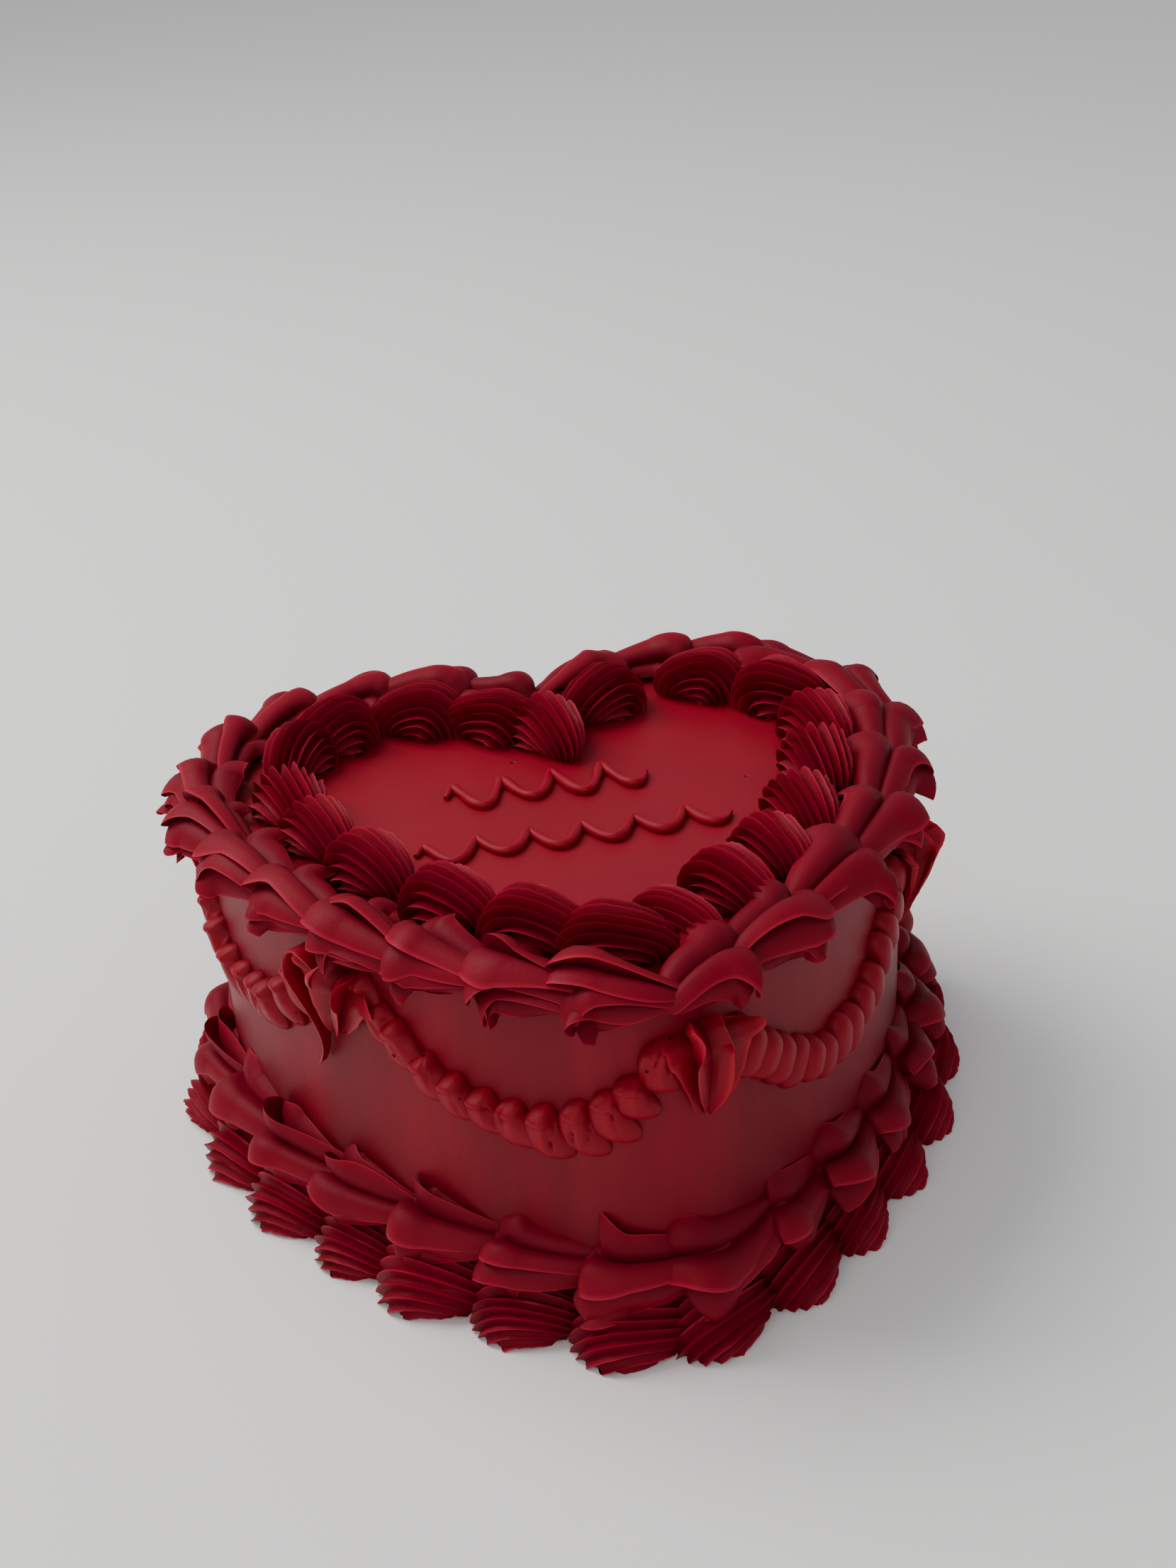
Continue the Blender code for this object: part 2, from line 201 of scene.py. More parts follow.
ridge = {
    "steps": (0.0, 0.09, 0.26, 0.5, 0.74, 0.91),  # columns from one crest to the next
    "hollow": 1.7,
    "widths": (0.86, 1.14),
}
leaf = {
    "rise": (0.0, 0.14, 0.28, 0.42, 0.56, 0.70, 0.82, 0.92, 0.98, 1.0),
    "fold": (0.05, 0.22, 0.5, 0.8, 1.0),
    "edgeShift": 4.0,
    "narrow": 20.0,  # a leaf of this width is a blade, one as wide as broad is swollen
    "broad": 40.0,
    "swollen": (0.85, 0.15),
    "bladeRise": 1.1,
    "foldFall": 1.2,
    "lapRise": 1.5,
    "lapFall": 1.1,
}


def ridgeProfile(look, draw):  # many fine ridges: angle, share of the ridge's height, its number
    count = look["ridges"]
    spread = look["spread"]
    edges = np.cumsum([0.0] + [draw.uniform(*ridge["widths"]) for _ in range(count)])
    edges = -spread + 2 * spread * edges / edges[-1]
    angle, share, lobe = [], [], []
    for n in range(count):
        for u in ridge["steps"]:
            angle.append(edges[n] + (edges[n + 1] - edges[n]) * u)
            share.append(abs(2 * u - 1) ** ridge["hollow"])
            lobe.append(n)
    angle.append(edges[-1])
    share.append(1.0)
    lobe.append(count - 1)
    return np.array(angle), np.array(share), np.array(lobe)


def petalProfile(leaves, draw):  # thin sheets that rise to a lip and fold back under it
    rise = np.array(leaf["rise"])
    fold = np.array(leaf["fold"])
    leans, edges, gains = leaves
    shift = leaf["edgeShift"]
    edges = [edges[0]] + [edge + draw.uniform(-shift, shift) for edge in edges[1:-1]] + [edges[-1]]
    full, tilted = leaf["swollen"]
    angle, over, share, lobe = [], [], [], []
    for n, lean in enumerate(leans):
        u = np.concatenate([rise, np.ones(len(fold))])
        lap = np.concatenate([rise ** leaf["lapRise"], 1.0 - fold ** leaf["lapFall"]])
        width = edges[n + 1] - edges[n]
        broad = min(max((width - leaf["narrow"]) / (leaf["broad"] - leaf["narrow"]), 0.0), 1.0)
        swollen = full * (1.0 - (1.0 - rise) ** 3) + tilted * rise ** 3
        risen = broad * swollen + (1.0 - broad) * rise ** leaf["bladeRise"]
        high = np.concatenate([risen, 1.0 - fold ** leaf["foldFall"]])
        if lean > 0:
            place = edges[n] + width * u
        else:
            place = (edges[n + 1] - width * u)[::-1]
            lap = lap[::-1]
            high = high[::-1]
        angle += list(place)
        over += list(lap * lean * min(width / leaf["broad"], 1.0))
        share += list(np.clip(high, 0.0, 1.0))
        lobe += [n] * len(u)
    return np.array(angle), np.array(over), np.array(share), np.array(lobe), leans, gains


# Piped shells: rows run up from the foot of the head, over the crown and down the tail

piping = {
    "ripples": (0.5, 1.5),  # waves along one shell
    "leafRipples": (0.5, 1.4),
    "flutters": (1.2, 2.6),
    "curls": (2.4, 4.0),
    "curlFade": 0.22,
    "leafCurls": (0.2, 1.0),
    "backCurl": 0.4,
    "leafOpening": 0.6,
    "curlHook": 1.5,
    "lipEdge": 5,
    "twistFrom": 0.35,
    "tailShares": (0.7, 0.3),
    "leastReach": 0.15,
    "bendReach": 14.0,
    "leastBend": 1e-6,
    "pullTo": 0.7,  # points below a shell's floor are drawn to its core, this far along
    "pullClear": 4.0,
    "leastFall": 0.001,
}


def smooth(values):
    values = np.clip(values, 0.0, 1.0)
    return values * values * (3.0 - 2.0 * values)


def waves(draw, t, rates, count):  # one slow random wave along each ridge
    made = []
    for _ in range(count):
        rate = draw.uniform(*rates)
        made.append(np.sin(2 * math.pi * (rate * t + draw.random())))
    return np.concatenate(made, 1)


def shellRows(look):  # for each row: share of the way, turn over the crown, size, depth of the grooves
    t = np.linspace(0.0, 1.0, look["rows"])[:, None]
    turn = np.radians(look["foot"] + (look["end"] - look["foot"]) * t)
    peak = look["peak"]
    before = np.clip(1.0 - t / peak, 0.0, 1.0) ** 2
    after = np.clip((t - peak) / (1.0 - peak), 0.0, 1.0) ** look["fade"]
    swell = 1.0 - (1.0 - look["headSize"]) * before - (1.0 - look["tailSize"]) * after
    deep = look["depth"] * (look["headDepth"] + (1.0 - look["headDepth"]) * smooth(t / look["ramp"]))
    deep = deep * (1.0 - (1.0 - look["tailDepth"]) * after)
    return t, turn, swell, deep


def shellShape(look, t, turn, swell, phi, radius):  # along, across and up of every point
    core = look["core"] * (1.0 - look["coreLoss"] * t)
    reach = np.maximum(core + radius * np.cos(phi), piping["leastReach"])
    c = np.cos(turn)
    head = -c * reach * look["headStretch"]
    if "tail" in look:
        fixed, following = piping["tailShares"]
        full = look["core"] + look["radius"] * swell
        tail = -c * (look["tail"] * (fixed + following * reach / full))
    else:
        tail = -c * reach * look["tailStretch"]
    along = np.where(c > 0.0, head, tail)
    across = radius * np.sin(phi) * look["wide"]
    up = np.sin(turn) * reach * look["tall"]
    return np.stack([along, across, up], 2)


def ridgePoints(look, profile, draw):  # fine ridges with slow waves
    angle, share, lobe = profile
    t, turn, swell, deep = shellRows(look)
    count = look["ridges"]
    gains = np.array([draw.uniform(*look["lobeSize"]) for _ in range(count)])
    ripple = waves(draw, t, piping["ripples"], count)[:, lobe]
    flutter = waves(draw, t, piping["flutters"], count)[:, lobe]
    curls = waves(draw, t, piping["curls"], count)[:, lobe]
    torn = np.array([[draw.uniform(-1.0, 1.0) for _ in range(count)] for _ in range(len(t))])
    about = t - piping["twistFrom"]
    phi = angle + share * (look["ruffle"] * ripple + look["twist"] * about)
    phi = phi + share ** 2 * look["curl"] * np.exp(-t / piping["curlFade"]) * curls
    phi = np.radians(phi + (1.0 - share) * look["twist"] * about)
    radius = 1.0 - deep * (1.0 - share)
    radius = radius + share * (gains[lobe] - 1.0) + share * look["wavy"] * flutter
    radius = look["radius"] * swell * radius + share ** 3 * look["torn"] * torn[:, lobe]
    # the crest share also masks the painted groove shade and crest highlight
    return shellShape(look, t, turn, swell, phi, radius), np.broadcast_to(share, radius.shape)


def petalPoints(look, profile, draw):  # leaves that open one by one behind the head, some with a hairpin
    angle, over, share, lobe, leans, sizes = profile
    t, turn, swell, deep = shellRows(look)
    count = len(leans)
    gains = np.array([gain * draw.uniform(*look["lobeSize"]) for gain in sizes])[lobe]
    ripple = waves(draw, t, piping["leafRipples"], count)[:, lobe]
    flutter = waves(draw, t, piping["flutters"], count)[:, lobe]
    opens = np.array([look["stagger"] * draw.random() for _ in range(count)])[lobe]
    curls = [-lean * draw.uniform(*piping["leafCurls"]) for lean in leans]
    curls = np.array([curl * (1.0 if lean > 0 else piping["backCurl"]) for curl, lean in zip(curls, leans)])
    hooks = np.array([draw.uniform(look["hookLow"], 1.0) for _ in range(count)])
    for folds in (curls, hooks):
        folds[[0, -1]] *= look["rimFold"]
    curls = curls[lobe]
    hooks = hooks[lobe]
    grow = smooth((t - opens) / look["open"]) ** piping["leafOpening"]
    hook = np.clip(1.0 - (t - opens) / look["hookOver"], 0.0, 1.0)
    high = share * grow
    phi = angle + over * look["over"] * grow + look["twist"] * (t - piping["twistFrom"])
    phi = phi + high * look["ruffle"] * ripple
    phi = np.radians(phi + high ** 2 * look["curl"] * curls * hook ** piping["curlHook"])
    radius = 1.0 - deep * (1.0 - high) + high * (gains - 1.0 + look["wavy"] * flutter)
    radius = look["radius"] * swell * radius
    points = shellShape(look, t, turn, swell, phi, radius)
    points[..., 0] += high ** 2 * look["hook"] * hooks * hook ** 2
    # the lips get a high crest share, the mask for their painted highlight
    return points, np.broadcast_to(high ** piping["lipEdge"], radius.shape)


def ringFrame(line, s, out, z, heading, roll):  # a place on the ring: origin, along, across, up
    point, normal = line.at(s)
    flat = point[0] + normal[0] * (out - line.offset)
    a = math.radians(heading)
    along = np.array([math.cos(a), math.sin(a), 0.0])
    level = np.array([normal[0][0], normal[0][1], 0.0])
    level = level - along * level.dot(along)
    level = level / np.linalg.norm(level)
    r = math.radians(roll)
    across = level * math.cos(r) - upward * math.sin(r)
    return np.array([flat[0], flat[1], z]), along, across, level * math.sin(r) + upward * math.cos(r)


def putShell(batch, line, s, heading, look, profile, size, draw, bendSign):
    origin, along, across, up = ringFrame(line, s, look["out"], look["z"], heading, look["roll"])
    points, share = (petalPoints if "hook" in look else ridgePoints)(look, profile, draw)
    points = points * size
    bend = line.bend(s, piping["bendReach"]) * bendSign * look["follow"]
    k = bend if abs(bend) > piping["leastBend"] else piping["leastBend"]
    x = points[..., 0]
    y = points[..., 1]
    px = np.sin(k * x) / k + y * np.sin(k * x)
    py = -(1.0 - np.cos(k * x)) / k + y * np.cos(k * x)
    placed = px[..., None] * along + py[..., None] * across + points[..., 2:3] * up + origin
    floor = look["lowest"]
    centre = piping["pullTo"] * px[..., None] * along + look["core"] * up + origin
    centre[..., 2] = np.maximum(centre[..., 2], floor + piping["pullClear"])
    fall = np.maximum(centre[..., 2] - placed[..., 2], piping["leastFall"])
    cut = (centre[..., 2] - floor) / fall
    below = (placed[..., 2] < floor)[..., None]
    placed = np.where(below, centre + (placed - centre) * cut[..., None], placed)
    batch.addLoft(placed, share)


# Materials

class Wire:  # a socket whose operators add Math nodes
    def __init__(self, made, socket):
        self.made = made
        self.socket = socket

    def maths(self, operation, *others):
        node = self.made.tree.nodes.new("ShaderNodeMath")
        node.operation = operation
        for slot, value in zip(node.inputs, others):
            self.made.feed(slot, value)
        return Wire(self.made, node.outputs[0])

    def __add__(self, other):
        return self.maths("ADD", self, other)

    def __radd__(self, other):
        return self.maths("ADD", other, self)

    def __sub__(self, other):
        return self.maths("SUBTRACT", self, other)

    def __rsub__(self, other):
        return self.maths("SUBTRACT", other, self)

    def __mul__(self, other):
        return self.maths("MULTIPLY", self, other)

    def __rmul__(self, other):
        return self.maths("MULTIPLY", other, self)

    def between(self, low, high):  # 0 below low, 1 above high, smooth in between
        return self.made.node(
            "ShaderNodeMapRange", {"interpolation_type": "SMOOTHSTEP"},
            Value=self, **{"From Min": low, "From Max": high}
        )["Result"]


class Outputs:
    def __init__(self, made, node):
        self.made = made
        self.node = node

    def __getitem__(self, name):
        return Wire(self.made, self.node.outputs[name])


class Finish:  # one material and the ways to wire it
    def __init__(self, name):
        self.material = bpy.data.materials.new(name)
        self.material.use_nodes = True
        self.tree = self.material.node_tree
        self.shader = self.tree.nodes["Principled BSDF"]

    def feed(self, slot, value):
        if isinstance(value, Wire):
            self.tree.links.new(value.socket, slot)
        elif isinstance(value, (tuple, list)) and len(value) == 3 and slot.type == "RGBA":
            slot.default_value = (*value, 1.0)
        else:
            slot.default_value = value

    def node(self, kind, settings=None, **values):
        node = self.tree.nodes.new(kind)
        for key, value in (settings or {}).items():
            setattr(node, key, value)
        for key, value in values.items():
            self.feed(node.inputs[key], value)
        return Outputs(self, node)

    def place(self, scale=(1.0, 1.0, 1.0)):
        where = self.node("ShaderNodeTexCoord")["Object"]
        return self.node("ShaderNodeMapping", None, Vector=where, Scale=scale)["Vector"]

    def noise(self, where, scale, detail=3.0, rough=0.5):
        values = {"Vector": where, "Scale": scale, "Detail": detail, "Roughness": rough}
        return self.node("ShaderNodeTexNoise", None, **values)["Fac"]

    def blend(self, factor, first, second):  # colours
        node = self.tree.nodes.new("ShaderNodeMix")
        node.data_type = "RGBA"
        self.feed(node.inputs[0], factor)
        self.feed(node.inputs[6], first)
        self.feed(node.inputs[7], second)
        return Wire(self, node.outputs[2])

    def airHoles(self, where, size, edge, chance):  # 1 in a few cells' middles, 0 elsewhere
        cell = self.node("ShaderNodeTexVoronoi", {"feature": "F1"}, Vector=where, Scale=size)
        chosen = self.node("ShaderNodeSeparateColor", None, Color=cell["Color"])["Red"]
        return (1.0 - cell["Distance"].between(*edge)) * chosen.between(1.0 - chance, 1.0 - chance + 0.01)

    # the crest share of each point: the mask for the painted groove shade and crest highlight
    def crest(self):
        return self.node("ShaderNodeAttribute", {"attribute_name": "crest"})["Fac"]

    def bump(self, height, distance, strength):
        values = {"Height": height, "Distance": distance, "Strength": strength}
        return self.node("ShaderNodeBump", None, **values)["Normal"]

    def set(self, **values):
        for key, value in values.items():
            self.feed(self.shader.inputs[key.replace("_", " ")], value)


def shaded(colour, share):
    return tuple(share * value for value in colour)


grain = (900.0, 3.0, 0.6)  # scale, detail and roughness, as in the clouds below
topColour = (0.240, 0.0012, 0.0130)
pipedIcing = {
    "cloud": (38.0, 3.0, 0.55),
    # how the painted groove shade gives way to the colour as the crest share rises
    "deepTo": (0.15, 0.95),
    # where the painted highlight on the crests begins
    "lipFrom": (0.78, 1.0),
    "holeSize": 260.0,
    "holeEdge": (0.09, 0.19),
    "holeShade": 0.12,
    "bump": (0.00035, 0.7),
}
wineLook = {
    "colour": (0.188, 0.0010, 0.0120),
    # painted shade for the grooves between ridges and leaves
    "deep": (0.136, 0.0008, 0.0100),
    # painted highlight on the crests and leaf lips
    "lip": (0.360, 0.0085, 0.0340),
    "roughness": 0.54,
    "shine": 0.09,
    "holes": 0.004,
}
redLook = {
    "colour": (0.228, 0.0013, 0.0120),
    # painted shade for the grooves between ridges and leaves
    "deep": (0.150, 0.0008, 0.0080),
    # painted highlight on the crests and leaf lips
    "lip": (0.420, 0.0080, 0.0260),
    "roughness": 0.42,
    "shine": 0.12,
    "holes": 0.10,
}
lineLook = {
    "colour": topColour,
    # painted shade for the grooves, as on the red icing
    "deep": redLook["deep"],
    # painted highlight on the crests, the red icing's colour
    "lip": redLook["colour"],
    "roughness": 0.44,
    "shine": 0.12,
    "holes": 0.01,
}
smoothIcing = {
    "top": topColour,
    "topShade": 0.86,
    "topCloud": (0.3, 0.75),
    "topBand": (5.0, 1.0),  # below the top face, where the wall's look turns into the top's
    "wall": (0.215, 0.0016, 0.0130),
    "wallShade": 0.72,
    "wallSmear": (0.35, 0.72),
    # painted shade: the wall darkens towards its foot
    "foot": (0.040, 0.0004, 0.0030),
    "footShare": 0.34,
    "footBand": (8.0, 62.0),
    "drawn": (26.0, 26.0, 3.2),
    "smear": (1.6, 4.0, 0.6),
    "cloud": (17.0, 3.0, 0.55),
    "rings": {"Scale": 16.0, "Distortion": 5.0, "Detail": 3.0},
    # painted shade inside the air holes
    "hole": (0.05, 0.003, 0.006),
    "holeSize": 90.0,
    "holeEdge": (0.03, 0.08),
    "holes": 0.10,
    "roughness": 0.42,
    "shine": 0.16,
    "bump": (0.0004, 0.55),
}


def pipedFinish(name, paint):
    look = pipedIcing
    made = Finish(name)
    where = made.place()
    cloud = made.noise(where, *look["cloud"])
    fine = made.noise(where, *grain)
    crest = made.crest()
    # painted shade: darker where the crest share is low, in the grooves, broken up at random by the clouds
    tint = made.blend((crest * 0.75 + cloud * 0.5).between(*look["deepTo"]), paint["deep"], paint["colour"])
    # painted highlight along the crests and leaf lips, its strength varied by the clouds
    tint = made.blend(crest.between(*look["lipFrom"]) * (cloud * 0.6 + 0.5), tint, paint["lip"])
    hole = made.airHoles(where, look["holeSize"], look["holeEdge"], paint["holes"])
    # painted shade inside the air holes, which the bump also dents
    tint = made.blend(hole * 0.95, tint, shaded(paint["deep"], look["holeShade"]))
    height = fine * 0.35 + cloud - hole * 3.0
    made.set(Base_Color=tint, Normal=made.bump(height, *look["bump"]))
    rough = fine * 0.16 + hole * 0.4 + (paint["roughness"] - 0.08)
    made.set(Roughness=rough, Specular_IOR_Level=paint["shine"])
    return made.material


def smoothFinish(name):
    look = smoothIcing
    made = Finish(name)
    where = made.place()
    high = made.node("ShaderNodeSeparateXYZ", None, Vector=where)["Z"]
    topFace = high.between(*((heart["height"] - below) * mm for below in look["topBand"]))
    smear = made.noise(made.place(look["drawn"]), *look["smear"])
    cloud = made.noise(where, *look["cloud"])
    fine = made.noise(where, *grain)
    kind = {"wave_type": "RINGS", "rings_direction": "Z"}
    rings = made.node("ShaderNodeTexWave", kind, Vector=where, **look["rings"])["Fac"]
    shade = shaded(look["wall"], look["wallShade"])
    wall = made.blend(smear.between(*look["wallSmear"]), shade, look["wall"])
    shade = shaded(look["top"], look["topShade"])
    top = made.blend(cloud.between(*look["topCloud"]), shade, look["top"])
    # painted shade towards the foot of the wall, full below the band and gone above it
    foot = high.between(*(z * mm for z in look["footBand"]))
    wall = made.blend(foot, made.blend(look["footShare"], wall, look["foot"]), wall)
    tint = made.blend(topFace, wall, top)
    hole = made.airHoles(where, look["holeSize"], look["holeEdge"], look["holes"])
    # painted shade inside the air holes, which the bump also dents
    tint = made.blend(hole * 0.8, tint, look["hole"])
    height = fine * 0.25 + smear * 1.2 + rings * topFace * 0.35 - hole * 2.0
    made.set(Base_Color=tint, Normal=made.bump(height, *look["bump"]))
    made.set(Roughness=cloud * 0.14 + look["roughness"], Specular_IOR_Level=look["shine"])
    return made.material


crimsonIcing = smoothFinish("crimson_smooth_icing")
wineIcing = pipedFinish("wine_piped_icing", wineLook)
redIcing = pipedFinish("red_piped_icing", redLook)
lineIcing = pipedFinish("crimson_piped_icing", lineLook)
print("materials made")


# Iced body: smooth wall, rounded top edge, flat top with a slight unevenness

bodyShape = {
    "columns": 480,
    "wallRows": 12,
    "edgeRadius": 2.2,
    "edgeSteps": 5,
    "topRings": 22,
    "innermost": 0.995,
    "middle": (0.0, -22.0),
    "uneven": 0.36,
    "unevenSpans": (17.0, 21.0),
}


def icedBody():
    look = bodyShape
    line = HeartLine(0.0)
    point, normal = line.at(np.linspace(0.0, line.total, look["columns"], endpoint=False))
    middle = np.array(look["middle"])
    top = heart["height"]
    edge = look["edgeRadius"]
    rows = [(0.0, z, 1.0) for z in np.linspace(0.0, top - edge, look["wallRows"])]
    for n in range(1, look["edgeSteps"] + 1):
        a = math.pi / 2 * n / look["edgeSteps"]
        rows.append((edge * (math.cos(a) - 1.0), top + edge * (math.sin(a) - 1.0), 1.0))
    for n in range(1, look["topRings"]):
        rows.append((-edge, top, 1.0 - n / look["topRings"] * look["innermost"]))
    spanX, spanY = look["unevenSpans"]
    grid = []
    for out, z, scale in rows:
        flat = point + normal * out
        flat = middle + (flat - middle) * scale
        uneven = look["uneven"] * np.sin(flat[:, 0] / spanX + 1.0) * np.sin(flat[:, 1] / spanY)
        grid.append(np.column_stack([flat, z + uneven * (1.0 - scale)]))
    batch = Batch()
    batch.addLoft(np.array(grid), np.ones((len(rows), look["columns"])))
    return batch.makePiece("iced_body", crimsonIcing, ["cake_body"])


icedBody()


# Inner top border: fine ridged shells lying on the top face

innerShell = {
    "seed": 311,
    "ridges": 14,
    "spread": 118.0,
    "rows": 40,
    "foot": -10.0,
    "end": 178.0,
    "peak": 0.36,
    "fade": 1.5,
    "headSize": 0.80,
    "tailSize": 0.36,
    "ramp": 0.10,
    "depth": 0.31,
    "headDepth": 0.55,
    "tailDepth": 0.7,
    "lobeSize": (0.96, 1.04),
    "ruffle": 1.2,
    "wavy": 0.010,
    "torn": 0.16,
    "curl": 0.0,
    "twists": 16.0,
    "sizes": (0.95, 1.04),
    "radius": 12.0,
    "core": 6.6,
    "coreLoss": 0.35,
    "headStretch": 0.95,
    "tailStretches": (1.5, 1.75),
    "wide": 1.0,
    "tall": 1.0,
    "out": -24.0,
    "z": heart["height"] - 0.6,
    "roll": 0.0,
    "follow": 0.6,
    "lowest": heart["height"] - 1.5,
    "line": -24.0,
    "rightPlaces": (89, 116, 141, 170, 196, 220, 245),
    "leftPlaces": (60, 24, -15, -40, -69.5, -87, -119, -141, -169, -200.5, -228.5, -252),
    "turnedIn": 20.0,  # the right run's shells turn inward, more so toward the tip
    "turnMore": 0.9,
    "turnFrom": 150.0,
    "closing": (1.5, -33.0, -75.0),
}


def innerBorder():
    look = dict(innerShell)
    draw = random.Random(look["seed"])
    line = HeartLine(look["line"])
    batch = Batch()
    for s in look["rightPlaces"] + look["leftPlaces"]:
        right = s in look["rightPlaces"]
        heading = line.heading(s) if right else line.heading(s) + 180.0
        if right:
            heading += look["turnedIn"] + look["turnMore"] * max(0.0, s - look["turnFrom"])
        look["twist"] = draw.uniform(-look["twists"], look["twists"])
        look["tailStretch"] = draw.uniform(*look["tailStretches"])
        profile = ridgeProfile(look, draw)
        size = draw.uniform(*look["sizes"])
        putShell(batch, line, s, heading, look, profile, size, draw, 1.0 if right else -1.0)
    s, look["out"], heading = look["closing"]
    putShell(batch, line, s, heading, look, ridgeProfile(look, draw), 1.0, draw, 0.0)
    return batch.makePiece("inner_shell_border", wineIcing, ["top_inner_border"])


innerBorder()


# Leaves round one petal shell: the side each leans to, the angles between them, their sizes

broadLeaves = (
    (-1, 1, 1, 1, 1, 1, 1),
    (-118.0, -60.0, -20.0, 20.0, 52.0, 74.0, 92.0, 112.0),
    (0.95, 1.0, 1.03, 1.02, 1.08, 1.12, 1.08),
)
splitLeaves = (
    (-1, -1, 1, 1, 1, 1, 1),
    (-118.0, -66.0, -36.0, 10.0, 42.0, 68.0, 90.0, 112.0),
    (0.95, 1.05, 1.0, 1.04, 1.06, 1.12, 1.06),
)
looseLeaves = (
    (-1, -1, 1, 1, 1),
    (-118.0, -60.0, -8.0, 36.0, 76.0, 112.0),
    (1.0, 1.06, 1.0, 1.1, 1.12),
)
fanLeaves = (
    (-1, -1, -1, -1, 1, 1, 1),
    (-112.0, -78.0, -54.0, -32.0, -10.0, 34.0, 72.0, 112.0),
    (1.05, 1.12, 1.18, 1.12, 1.0, 1.0, 0.95),
)
finLeaves = (
    (-1, -1, -1, 1, 1, 1, 1),
    (-112.0, -84.0, -62.0, -40.0, 22.0, 54.0, 80.0, 112.0),
    (1.14, 1.26, 1.18, 1.0, 1.06, 1.10, 0.98),
)
scaleLeaves = (
    (-1, -1, 1, 1, 1, 1, 1),
    (-112.0, -66.0, -28.0, 14.0, 46.0, 70.0, 90.0, 114.0),
    (1.1, 1.14, 0.98, 1.06, 1.12, 1.14, 0.98),
)


# Outer top border: broad petals that lean over the edge of the wall

outerShell = {
    "seed": 512,
    "rows": 42,
    "foot": 2.0,
    "end": 164.0,
    "peak": 0.26,
    "fade": 1.0,
    "headSize": 0.94,
    "tailSize": 0.26,
    "stagger": 0.08,
    "open": 0.11,
    "hookOver": 0.30,
    "hook": 4.0,
    "hookLow": 0.0,
    "rimFold": 0.25,
    "curl": 24.0,
    "ramp": 0.36,
    "depth": 0.62,
    "headDepth": 0.30,
    "tailDepth": 0.9,
    "lobeSize": (0.94, 1.08),
    "ruffle": 13.0,
    "wavy": 0.07,
    "over": 25.0,
    "twists": 14.0,
    "sizes": (0.94, 1.05),
    "radius": 14.4,
    "core": 3.6,
    "coreLoss": 0.1,
    "headStretch": 1.0,
    "tail": 30.0,
    "tipTail": 0.72,  # tails shorten to this share within tipReach of the tip
    "tipReach": 40.0,
    "wide": 1.0,
    "tall": 0.88,
    "z": heart["height"] - 0.4,
    "roll": 20.0,
    "follow": 0.8,
    "lowest": heart["height"] - 9.0,
    "line": 2.0,
    "start": 84.0,
    "firstStep": 0.42,
    "stepShift": 0.06,
    "tipGap": 6.0,
    "runs": (
        (16, -1.0, (broadLeaves, broadLeaves, splitLeaves)),
        (8, 1.0, (looseLeaves, looseLeaves, splitLeaves)),
    ),
    "outPlaces": (0, 40, 90, 150, 210, 280, 335, 400, 450, 520, 580, 630, 670),
    "outs": (-7.0, -7.5, -6.5, -5.0, -4.6, -5.2, -5.6, -4.6, -2.4, -1.0, -2.4, -5.4, -7.0),
    "yaws": (0, 0, 0, 6, 8, 8, -8, -6, -4, 8, 14, 10, 0),
}


def outerBorder():
    look = dict(outerShell)
    draw = random.Random(look["seed"])
    line = HeartLine(look["line"])
    batch = Batch()
    for count, sign, mix in look["runs"]:
        goal = line.half if sign > 0 else line.half - line.total
        pitch = (goal - look["start"]) / count
        for n in range(count):
            shift = draw.uniform(-look["stepShift"], look["stepShift"])
            s = look["start"] + pitch * (n + look["firstStep"] + shift)
            if abs((s + line.half) % line.total - line.half) < look["tipGap"]:
                continue
            here = s % line.total
            yaw = float(np.interp(here, look["outPlaces"], look["yaws"]))
            look["out"] = float(np.interp(here, look["outPlaces"], look["outs"]))
            heading = line.heading(s) + (0.0 if sign > 0 else 180.0) - sign * yaw
            look["twist"] = draw.uniform(-look["twists"], look["twists"])
            nearTip = max(abs(here - line.half) / look["tipReach"], look["tipTail"])
            look["tail"] = outerShell["tail"] * min(nearTip, 1.0)
            profile = petalProfile(draw.choice(mix), draw)
            size = draw.uniform(*look["sizes"])
            putShell(batch, line, s, heading, look, profile, size, draw, sign)
    return batch.makePiece("outer_petal_border", wineIcing, ["top_outer_border"])


outerBorder()


# Base borders: ridged shells on the floor, broad petals above them against the wall

